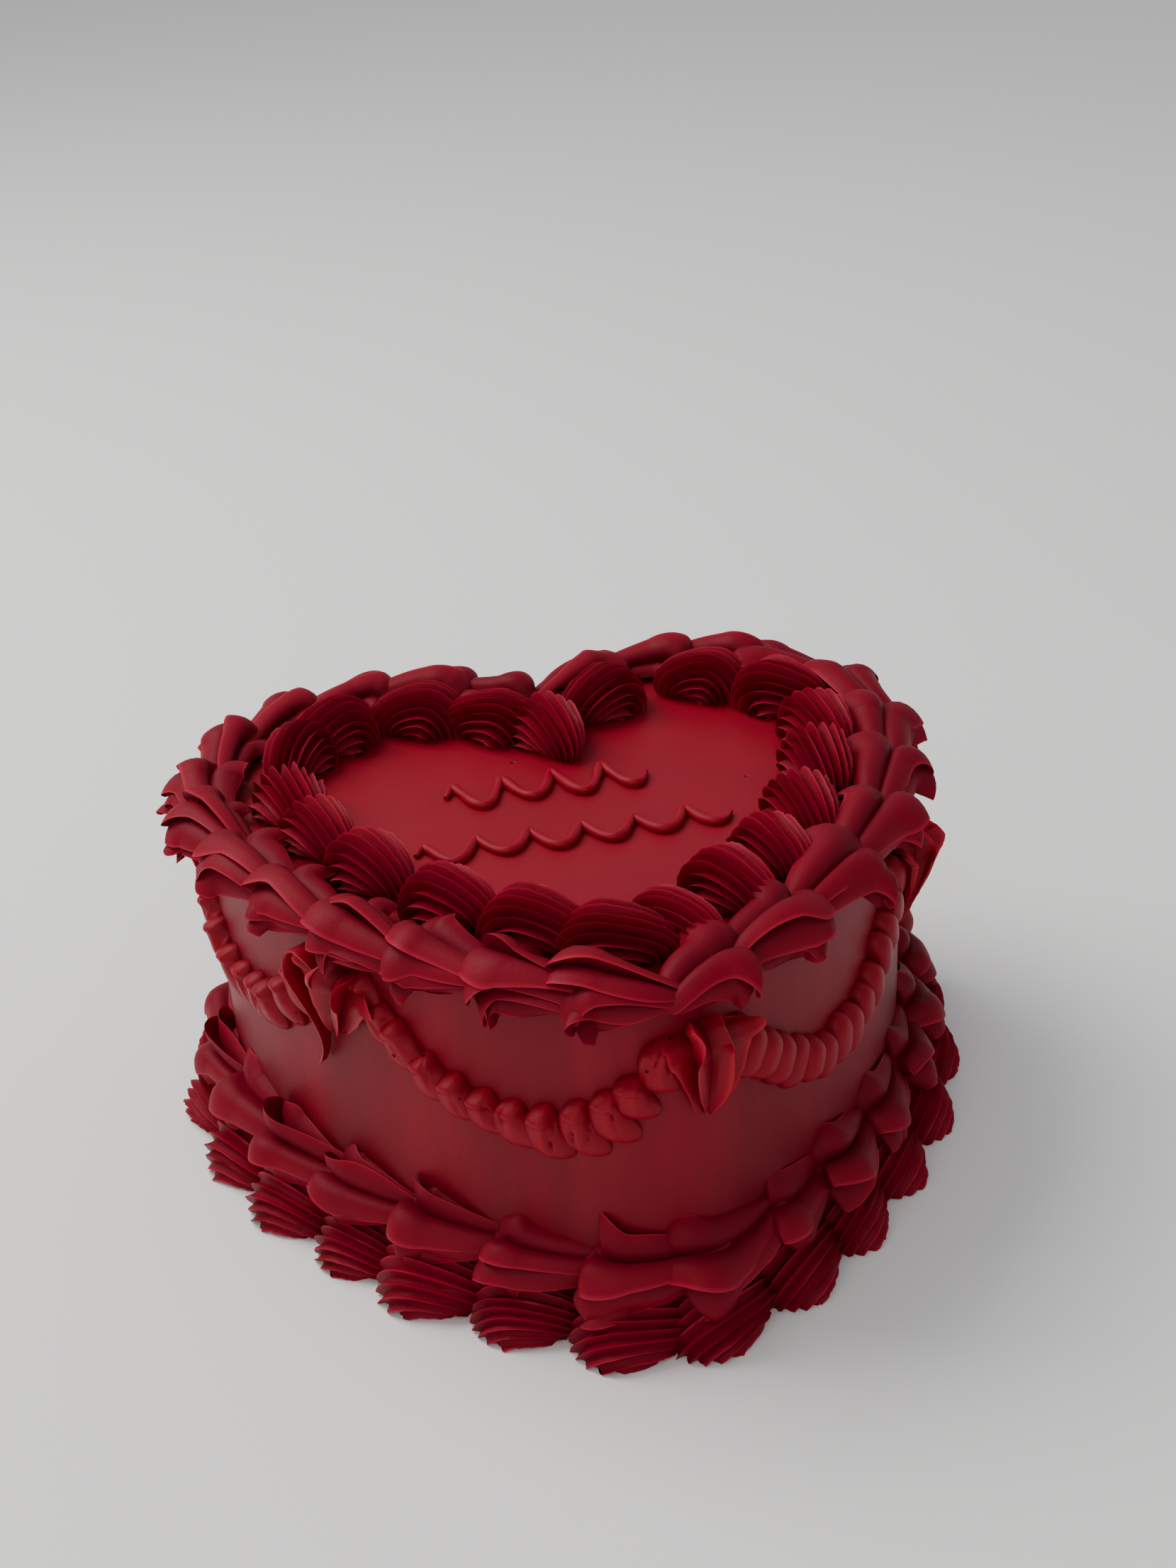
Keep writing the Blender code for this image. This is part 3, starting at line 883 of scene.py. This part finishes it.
lowerShell = {
    "seed": 613,
    "ridges": 15,
    "spread": 110.0,
    "rows": 36,
    "foot": -14.0,
    "end": 176.0,
    "peak": 0.34,
    "fade": 1.5,
    "headSize": 0.86,
    "tailSize": 0.34,
    "ramp": 0.16,
    "depth": 0.17,
    "headDepth": 0.42,
    "tailDepth": 0.7,
    "lobeSize": (0.96, 1.04),
    "ruffle": 1.2,
    "wavy": 0.012,
    "torn": 0.2,
    "curl": 0.0,
    "radius": 13.8,
    "core": 6.8,
    "coreLoss": 0.3,
    "headStretch": 0.9,
    "tailStretch": 1.6,
    "wide": 1.0,
    "tall": 1.0,
    "out": 3.4,
    "z": -1.0,
    "roll": 26.0,
    "lowest": 0.0,
    "line": 13.0,
    "yaw": 9.0,
}
upperShell = {
    "seed": 714,
    "rows": 38,
    "foot": -4.0,
    "end": 172.0,
    "peak": 0.26,
    "fade": 1.25,
    "headSize": 0.92,
    "tailSize": 0.08,
    "stagger": 0.16,
    "open": 0.09,
    "hookOver": 0.32,
    "hook": 6.0,
    "hookLow": -0.7,
    "rimFold": 1.0,
    "curl": 28.0,
    "ramp": 0.32,
    "depth": 0.62,
    "headDepth": 0.45,
    "tailDepth": 0.9,
    "lobeSize": (0.90, 1.12),
    "ruffle": 13.0,
    "wavy": 0.08,
    "over": 16.0,
    "radius": 13.2,
    "core": 3.8,
    "coreLoss": 0.3,
    "headStretch": 1.05,
    "tail": 31.0,
    "wide": 1.0,
    "tall": 1.0,
    "out": 0.6,
    "z": 21.5,
    "roll": 60.0,
    "lowest": 2.0,
    "line": 8.0,
    "yaw": 6.0,
}
baseRing = {
    "shells": 24,
    "stepShift": 0.07,
    "twists": 12.0,
    "sizes": (0.92, 1.08),
    "follow": 0.8,
    "frontReach": 60.0,
    "left": (fanLeaves, fanLeaves, finLeaves),
    "front": (finLeaves, finLeaves, scaleLeaves),
    "right": (scaleLeaves, scaleLeaves, finLeaves),
}


def baseProfile(look, pastTip, draw):  # pastTip: how far the shell is to the left of the tip
    if "ridges" in look:
        return ridgeProfile(look, draw)
    side = "left" if pastTip > look["frontReach"] else "right"
    side = "front" if abs(pastTip) <= look["frontReach"] else side
    return petalProfile(draw.choice(look[side]), draw)


def baseBorder(name, shell, node):
    look = {**baseRing, **shell}
    draw = random.Random(look["seed"])
    line = HeartLine(look["line"])
    batch = Batch()
    pitch = line.total / look["shells"]
    for n in range(look["shells"]):
        s = line.total - pitch * (n + 0.5 + draw.uniform(-look["stepShift"], look["stepShift"]))
        heading = line.heading(s) + 180.0 + look["yaw"]
        look["twist"] = draw.uniform(-look["twists"], look["twists"])
        profile = baseProfile(look, s - line.half, draw)
        size = draw.uniform(*look["sizes"])
        putShell(batch, line, s, heading, look, profile, size, draw, -1.0)
    return batch.makePiece(name, wineIcing, [node])


baseBorder("base_ridged_border", lowerShell, "base_lower_border")
baseBorder("base_petal_border", upperShell, "base_upper_border")


# Drops: petals piped down the wall from a blunt head to a point

dropShell = {
    "seed": 820,
    "ridges": 5,
    "spread": 114.0,
    "rows": 60,
    "foot": -4.0,
    "end": 176.0,
    "peak": 0.40,
    "fade": 1.0,
    "headSize": 0.40,
    "tailSize": 0.04,
    "ramp": 0.10,
    "depth": 0.52,
    "headDepth": 0.55,
    "tailDepth": 0.9,
    "lobeSize": (0.92, 1.12),
    "ruffle": 8.0,
    "wavy": 0.06,
    "torn": 0.12,
    "curl": 8.0,
    "twists": 8.0,
    "radius": 13.6,
    "core": 4.4,
    "coreLoss": 0.8,
    "headStretch": 0.80,
    "tail": 28.0,
    "wide": 1.22,
    "tall": 0.86,
    "places": (0.0, 102.0, 206.0, 322.5, 433.0, 540.0),
    "z": 92.0,
    "seat": 1.0,
    "notchSeat": 7.5,
    "leanDown": (0.0, 6.0, -6.0, 4.0, -22.0, 8.0),
}
ribbonLoop = {
    "drop": 4,  # the one drop that has it
    "rows": 34,
    "middle": (7.0, 1.0),
    "width": 5.2,
    "height": 8.5,
    "turned": (-50.0, 180.0),
    "tail": 31.0,
    "sway": 6.6,
    "swayTurn": 1.9,
    "flick": 4.2,
    "out": 9.5,
    "headOut": (0.35, 0.65, 0.28),
    "tailOut": (0.72, 0.45, 0.55),
    "thick": 1.5,
    "thinning": 0.5,
    "lean": 1.6,
    "leanTurn": (5.0, 0.6),
    "section": (
        (-1.1, -0.1), (-0.8, 0.5), (-0.45, 0.92), (-0.2, 1.0),
        (0.2, 1.0), (0.45, 0.92), (0.8, 0.5), (1.1, -0.1),
    ),
    "crest": 0.9,
    "starShift": 3.0,
    "starTwist": 20.0,
    "starSize": 0.90,
}


def ribbonPoints(look):  # a thin band on edge: round an open loop, then down to a flicked point
    start, end = (math.radians(a) for a in look["turned"])
    a = np.linspace(start, end, look["rows"])
    v = np.linspace(0.0, 1.0, look["rows"])[1:]
    left = look["middle"][0] + np.concatenate([
        -look["width"] * np.cos(a),
        look["width"] - look["sway"] * np.sin(look["swayTurn"] * v) + look["flick"] * v ** 3,
    ])
    high = look["middle"][1] + np.concatenate([look["height"] * np.sin(a), -look["tail"] * v])
    t = np.linspace(0.0, 1.0, len(left))
    slope = np.stack([np.gradient(left), np.gradient(high)], 1)
    slope = slope / np.linalg.norm(slope, axis=1)[:, None]
    least, more, grown = look["headOut"]
    loss, lossFrom, lossOver = look["tailOut"]
    reach = look["out"] * (least + more * smooth(t / grown))
    reach = reach * (1.0 - loss * smooth((t - lossFrom) / lossOver))
    rate, phase = look["leanTurn"]
    rows = []
    for n in range(len(t)):
        lean = look["lean"] * math.sin(rate * t[n] + phase)
        thick = look["thick"] * (1.0 - look["thinning"] * t[n])
        row = []
        for side, up in look["section"]:
            shift = side * thick + lean * up ** 2
            row.append((left[n] - slope[n, 1] * shift, high[n] + slope[n, 0] * shift, reach[n] * up))
        rows.append(row)
    # the band's outer edge gets a high crest share, the mask for its painted highlight
    crest = [look["crest"] * max(up, 0.0) ** 3 for side, up in look["section"]]
    return np.array(rows), np.array([crest] * len(t))


def wallDrop(index):
    look = dict(dropShell)
    draw = random.Random(look["seed"] + index)
    line = HeartLine(0.0)
    point, normal = line.at(look["places"][index])
    out = np.array([normal[0][0], normal[0][1], 0.0])
    side = np.array([-out[1], out[0], 0.0])
    lean = math.radians(look["leanDown"][index])
    along = -upward * math.cos(lean) + side * math.sin(lean)
    across = side * math.cos(lean) + upward * math.sin(lean)
    seat = look["notchSeat"] if index == 0 else look["seat"]
    origin = np.array([point[0][0], point[0][1], 0.0]) + out * seat + upward * look["z"]
    look["twist"] = draw.uniform(-look["twists"], look["twists"])
    looped = index == ribbonLoop["drop"]
    if looped:
        look["twist"] = ribbonLoop["starTwist"]
    points, share = ridgePoints(look, ridgeProfile(look, draw), draw)
    batch = Batch()
    if looped:
        band, bandShare = ribbonPoints(ribbonLoop)
        placed = band[..., 0:1] * -side + band[..., 1:2] * upward + band[..., 2:3] * out + origin
        batch.addLoft(placed, bandShare)
        points = points * ribbonLoop["starSize"]
        origin = origin + side * ribbonLoop["starShift"]
    placed = points[..., 0:1] * along + points[..., 1:2] * across + points[..., 2:3] * out + origin
    batch.addLoft(placed, share)
    name = "wall_drop_%d" % (index + 1)
    return batch.makePiece(name, redIcing, ["rosette_%d" % (index + 1)])


# Garlands: fat rounded tongues that overlap like scales along a hanging line

garland = {
    "seed": 910,
    "low": (64.0, 63.0, 63.0, 65.0, 65.0, 63.0),
    "high": 104.0,
    "sag": 2.1,
    "centres": (0.5, 0.5, 0.5, 0.41, 0.5, 0.5),
    "room": 8.0,
    "notchRoom": 9.0,
    "steps": 400,
    "stepShift": 0.12,
    "pitches": (9.6, 9.6, 8.2, 9.8, 9.8, 9.6),
    "lips": (1, 1, -1, 1, 1, 1),
    "fingers": (False, True, True, False, False, False),
    "steepest": 0.05,
}
tongueShape = {
    "rows": 28,
    "around": 30,
    "under": 4,
    "sunk": -0.8,
    "length": 15.8,
    "lengths": (0.88, 1.10),
    "shift": 0.8,
    "ends": (2.6, 4.2),  # how square the top and the foot are
    "lastRow": 0.995,
    "height": 6.0,
    "heights": (0.85, 1.12),
    "lipSides": (0.58, 0.66),
    "lipPowers": (0.85, 0.55),
    "sinks": (1.1, 1.8),
    "slants": 0.08,
    "bows": (0.6, 1.4),
    "crests": (0.85, 0.5, 0.8),
}
plumpTongue = {
    "farSides": (0.66, 0.78),
    "slims": (0.4, 0.65),
    "slimFrom": 0.25,
    "slimOver": 0.65,
    "knobs": (0.35, 0.55),
    "swell": (0.3, 0.62, 0.22),
    "farHeight": (0.3, 0.7),
    "dents": (1.0, 2.6),
    "creases": (1, 3),
    "slant": 0.14,
    "bow": 1.4,
    "topShift": 0.04,
    "lie": -0.15,
}
fingerTongue = {
    "farSides": (0.52, 0.62),
    "knobs": (0.10, 0.25),
    "farPower": 0.6,
    "slant": 0.04,
    "bow": 0.42,
    "lie": 0.55,
}
dent = {"place": 0.35, "width": 2.0, "up": 0.45, "length": 0.3}
crease = {
    "places": (-0.5, 0.35),
    "slants": (-0.25, 0.25),
    "width": 0.55,
    "middles": (-0.3, 0.7),
    "length": 0.4,
    "depths": (0.6, 1.5),
}


def creased(high, a, v, end, pitch, draw):  # a broad dent beside the lip and a few sharp creases
    hollow = ((a + dent["place"] * pitch) / dent["width"]) ** 2 + ((v - dent["up"]) / dent["length"]) ** 2
    high = high - draw.uniform(*plumpTongue["dents"]) * np.exp(-hollow) * end
    for _ in range(draw.randint(*plumpTongue["creases"])):
        place = pitch * (draw.uniform(*crease["places"]) + draw.uniform(*crease["slants"]) * v)
        away = ((a - place) / crease["width"]) ** 2
        away = away + ((v - draw.uniform(*crease["middles"])) / crease["length"]) ** 2
        high = high - draw.uniform(*crease["depths"]) * np.exp(-away) * end
    return high


def tongue(pitch, plump, draw):  # a rounded finger across the band: along, across and out, row by row
    look = tongueShape
    kind = plumpTongue if plump else fingerTongue
    v = np.linspace(-1.0, 1.0, look["rows"])[:, None] * look["lastRow"]
    up = 0.5 + 0.5 * v
    turn = np.linspace(0.0, math.pi, look["around"])[None, :]
    c = np.cos(turn)
    s = np.sin(turn)
    end = (1.0 - np.abs(v) ** np.where(v > 0.0, *look["ends"])) ** 0.5
    lipSide = pitch * draw.uniform(*look["lipSides"])
    farSide = pitch * draw.uniform(*kind["farSides"])
    slim = 1.0
    if plump:
        slim = 1.0 - draw.uniform(*kind["slims"]) * smooth((up - kind["slimFrom"]) / kind["slimOver"])
    knob = draw.uniform(*kind["knobs"])
    height = look["height"] * draw.uniform(*look["heights"]) * end * (1.0 - knob * (1.0 - up ** 0.8))
    if plump:
        gain, middle, spread = kind["swell"]
        height = height * (1.0 + gain * np.exp(-((v - middle) / spread) ** 2))
    lipWide, lipHigh = look["lipPowers"]
    a = np.where(c > 0.0, lipSide * np.abs(c) ** lipWide, -farSide * slim * np.abs(c)) * end
    sink = draw.uniform(*look["sinks"])
    if plump:
        least, more = kind["farHeight"]
        high = height * np.where(c > 0.0, s ** lipHigh, least + more * s ** sink)
        high = creased(high, a, v, end, pitch, draw)
    else:
        high = height * np.where(c > 0.0, s ** lipHigh, s ** kind["farPower"])
    high = np.maximum(high, 0.0)
    base = np.linspace(1.0, 0.0, look["under"])[None, :]
    a = np.concatenate([a, a[:, -1:] + (a[:, :1] - a[:, -1:]) * (1.0 - base)], 1)
    high = np.concatenate([high, np.full((len(v), look["under"]), look["sunk"])], 1)
    slant = kind["slant"] + draw.uniform(-look["slants"], look["slants"])
    bow = kind["bow"] * draw.uniform(*look["bows"])
    b = v * look["length"] / 2 * draw.uniform(*look["lengths"]) + draw.uniform(-look["shift"], look["shift"])
    along = a - bow * (v ** 2 - 0.3) + slant * b
    if plump:
        along = along + kind["topShift"] * pitch * smooth(2.0 * up - 1.0)
    # the crest share peaks along each tongue's top and is dimmer on the far side: the mask for its painted
    # highlight and shade
    bright, power, farCrest = look["crests"]
    share = bright * s ** power * np.where(c > 0.0, 1.0, farCrest) + 0 * v
    share = np.concatenate([share, np.zeros((len(v), look["under"]))], 1)
    return along, np.broadcast_to(b, along.shape), high, np.clip(share, 0.0, 1.0)


def garlandPiece(index):
    look = garland
    places = dropShell["places"]
    line = HeartLine(0.0)
    draw = random.Random(look["seed"] + index)
    start = places[index]
    end = places[index + 1] if index + 1 < len(places) else line.total
    span = end - start
    low = look["low"][index]
    first = (look["room"] + (look["notchRoom"] if index == 0 else 0.0)) / span
    last = 1.0 - (look["room"] + (look["notchRoom"] if index == len(places) - 1 else 0.0)) / span
    grid = np.linspace(first, last, look["steps"])
    centre = look["centres"][index]
    away = np.where(grid < centre, (centre - grid) / centre, (grid - centre) / (1.0 - centre))
    height = low + (look["high"] - low) * away ** look["sag"]
    length = np.concatenate([[0.0], np.cumsum(np.hypot(np.diff(grid) * span, np.diff(height)))])
    pitch = look["pitches"][index]
    plump = not look["fingers"][index]
    lie = (plumpTongue if plump else fingerTongue)["lie"]
    count = int(round(length[-1] / pitch))
    batch = Batch()
    for n in range(count):
        shift = draw.uniform(-look["stepShift"], look["stepShift"])
        where = (n + 0.5 + shift) * length[-1] / count
        u = np.interp(where, length, grid)
        slope = np.interp(where, length, np.gradient(height, length)) * lie
        rise = math.atan(slope / math.sqrt(max(1.0 - slope * slope, look["steepest"])))
        along, across, high, share = tongue(pitch, plump, draw)
        along = along * look["lips"][index]
        s = start + span * u + along * math.cos(rise) - across * math.sin(rise)
        z = np.interp(where, length, height) + along * math.sin(rise) + across * math.cos(rise)
        point, normal = line.at(s.ravel())
        flat = point.reshape(*s.shape, 2) + normal.reshape(*s.shape, 2) * high[..., None]
        batch.addLoft(np.concatenate([flat, z[..., None]], 2), share)
    name = "garland_%d" % (index + 1)
    return batch.makePiece(name, redIcing, ["swag_%d" % (index + 1)])


for index in range(len(dropShell["places"])):
    wallDrop(index)
    garlandPiece(index)


# Flourish: two piped running waves on the top face

flourish = {
    "bead": 1.65,
    "beadWaves": ((0.10, 40.0, 1.0), (0.06, 91.0, 0.0)),
    "beadRise": 0.95,
    "sunk": 1.0,
    "startBlob": 1.15,
    "blobReach": 0.02,
    "lean": 0.45,
    "swings": (0.65, 1.15),
    "perWave": 44,
    "around": 14,
    "crest": 0.8,
    "lines": (  # name, middle, length, swing and number of waves
        ("top_flourish_upper", -6.0, -13.0, 62.0, 8.0, 4.0),
        ("top_flourish_lower", -4.0, -46.0, 94.0, 6.0, 6.0),
    ),
}


def flourishLine(name, x0, y0, length, swing, waveCount):
    look = flourish
    count = int(look["perWave"] * waveCount)
    reach = look["lean"] * length / waveCount / (2 * math.pi)
    draw = random.Random(len(name))
    gains = [draw.uniform(*look["swings"]) for _ in range(int(2 * waveCount) + 2)]
    path = []
    for n in range(count + 1):
        phase = 2 * math.pi * waveCount * n / count
        y = swing * gains[int(phase / math.pi)] * math.sin(phase)
        x = length * (n / count - 0.5) + reach * math.cos(phase)
        path.append((x0 + x, y0 + y))
    path = np.array(path)
    ahead = np.gradient(path, axis=0)
    ahead = ahead / np.linalg.norm(ahead, axis=1)[:, None]
    side = np.column_stack([-ahead[:, 1], ahead[:, 0]])
    t = np.linspace(0.0, 1.0, count + 1)
    uneven = 1.0
    for size, rate, phase in look["beadWaves"]:
        uneven = uneven + size * np.sin(rate * t + phase)
    thick = look["bead"] * uneven
    thick = thick * np.minimum(1.0, 0.35 + 12.0 * np.minimum(t, 1.0 - t))
    thick = thick * np.where(t < look["blobReach"], look["startBlob"], 1.0)
    turn = np.linspace(0.0, 2 * math.pi, look["around"], endpoint=False)
    flat = path[:, None, :] + side[:, None, :] * (thick[:, None] * np.cos(turn))[..., None]
    z = heart["height"] + look["sunk"] + look["beadRise"] * thick[:, None] * np.sin(turn)
    batch = Batch()
    crest = np.full((count + 1, look["around"]), look["crest"])
    batch.addLoft(np.concatenate([flat, z[..., None]], 2), crest)
    return batch.makePiece(name.replace("top_", "piped_"), lineIcing, [name])


for values in flourish["lines"]:
    flourishLine(*values)


# Stage: pale floor, soft light, camera

studio = {
    "floorSize": 6.0,
    "floorSunk": 0.0001,
    "floorColour": (0.88, 0.87, 0.85),
    "floorShade": 0.97,
    "floorCloud": 3.0,
    "floorRoughness": 0.8,
    "skyColour": (0.86, 0.88, 0.92),
    "skyStrength": 0.55,
    "aim": (0.0, 0.0, 0.05),
    "lights": (  # name, place, size, power and colour
        ("window_light", (-0.75, 0.55, 1.25), 1.1, 26.0, (1.0, 0.98, 0.95)),
        ("room_light", (-0.5, -1.2, 0.9), 1.4, 7.0, (1.0, 0.97, 0.94)),
    ),
}


def addLight(name, place, size, power, colour):
    light = bpy.data.lights.new(name, "AREA")
    light.size = size
    light.energy = power
    light.color = colour
    item = bpy.data.objects.new(name, light)
    bpy.context.scene.collection.objects.link(item)
    item.location = place
    aim = Vector(studio["aim"]) - Vector(place)
    item.rotation_mode = "QUATERNION"
    item.rotation_quaternion = aim.to_track_quat("-Z", "Y")


def addStage():
    look = studio
    half = look["floorSize"] / 2
    mesh = bpy.data.meshes.new("pale_floor")
    corners = [(x * half, y * half, -look["floorSunk"]) for x, y in ((-1, -1), (1, -1), (1, 1), (-1, 1))]
    mesh.from_pydata(corners, [], [(0, 1, 2, 3)])
    floor = bpy.data.objects.new("pale_floor", mesh)
    bpy.context.scene.collection.objects.link(floor)
    made = Finish("pale_floor_paint")
    cloud = made.noise(made.place(), look["floorCloud"])
    tint = made.blend(cloud, shaded(look["floorColour"], look["floorShade"]), look["floorColour"])
    made.set(Base_Color=tint, Roughness=look["floorRoughness"])
    mesh.materials.append(made.material)
    world = bpy.data.worlds.new("soft_sky")
    world.use_nodes = True
    sky = world.node_tree.nodes["Background"]
    sky.inputs["Color"].default_value = (*look["skyColour"], 1.0)
    sky.inputs["Strength"].default_value = look["skyStrength"]
    bpy.context.scene.world = world
    for values in look["lights"]:
        addLight(*values)


view = {
    "photoHigh": 2212.0,  # pixels
    "focalPixels": 3400.0,
    "pitch": 27.59,
    "roll": -3.17,
    "turn": 0.182,
    "slide": (-4.9, 27.6),
    "eye": (5.11, -633.68, 445.69),
    "sensor": 36.0,
    "near": 0.01,
    "far": 20.0,
}


def addCamera():
    look = view
    c, s = math.cos(look["turn"]), math.sin(look["turn"])
    x = look["eye"][0] - look["slide"][0]
    y = look["eye"][1] - look["slide"][1]
    eye = np.array([c * x + s * y, -s * x + c * y, look["eye"][2]]) + heartShift
    pitch = math.radians(look["pitch"])
    roll = math.radians(look["roll"])
    right = Vector((c, -s, 0.0))
    level = Vector((s, c, 0.0))
    forward = level * math.cos(pitch) - Vector((0.0, 0.0, math.sin(pitch)))
    up = right.cross(forward)
    across = right * math.cos(roll) + up * math.sin(roll)
    overhead = up * math.cos(roll) - right * math.sin(roll)
    turn = Matrix((across, overhead, -forward)).transposed()
    data = bpy.data.cameras.new("photo_view")
    data.sensor_width = look["sensor"]
    data.lens = look["focalPixels"] * look["sensor"] / look["photoHigh"]
    data.clip_start = look["near"]
    data.clip_end = look["far"]
    camera = bpy.data.objects.new("photo_view", data)
    bpy.context.scene.collection.objects.link(camera)
    camera.matrix_world = Matrix.Translation(Vector(eye) * mm) @ turn.to_4x4()
    bpy.context.scene.camera = camera


addStage()
addCamera()
print("stage and camera set")
